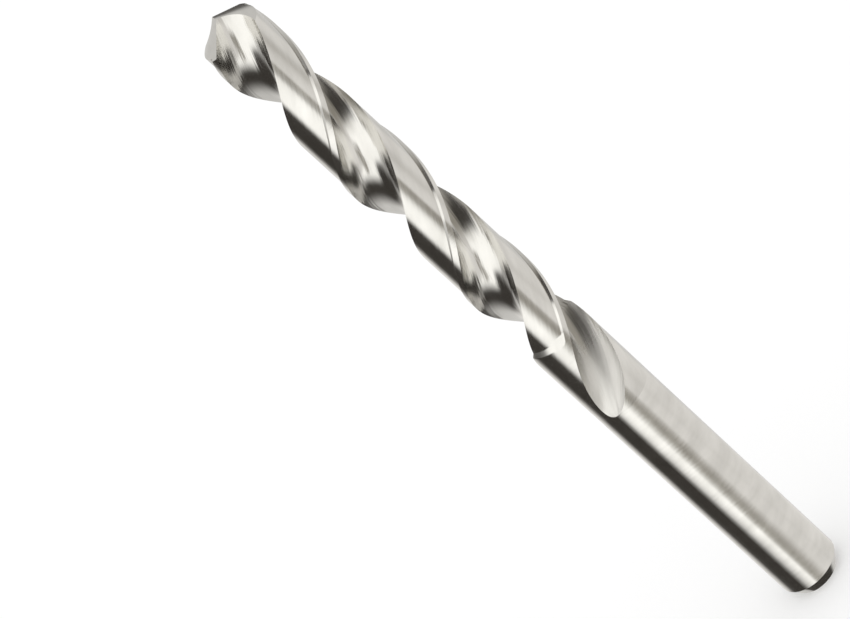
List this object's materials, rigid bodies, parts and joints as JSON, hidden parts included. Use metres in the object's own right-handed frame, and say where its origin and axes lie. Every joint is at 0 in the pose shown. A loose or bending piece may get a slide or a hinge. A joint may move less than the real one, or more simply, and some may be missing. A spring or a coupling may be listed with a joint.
{
  "type": "twist drill bit",
  "caption": "Long slim metal-cutting drill bit with right-hand spiral flutes, conical point and plain round shank, in bright ground steel.",
  "frame": {"origin": "centre of the shank's flat end face, on the drill's axis", "axes": "+Z along the drill's axis from the shank to the point; +X through the outer corner of the first lip; +Y completes the right-handed frame"},
  "size_m": [0.0102, 0.0102, 0.133],
  "materials": {
    "ground_steel": "bright ground high-speed steel with fine grinding lines"
  },
  "bodies": {
    "root": {"twist_drill": "ground_steel"}
  },
  "joints": []
}
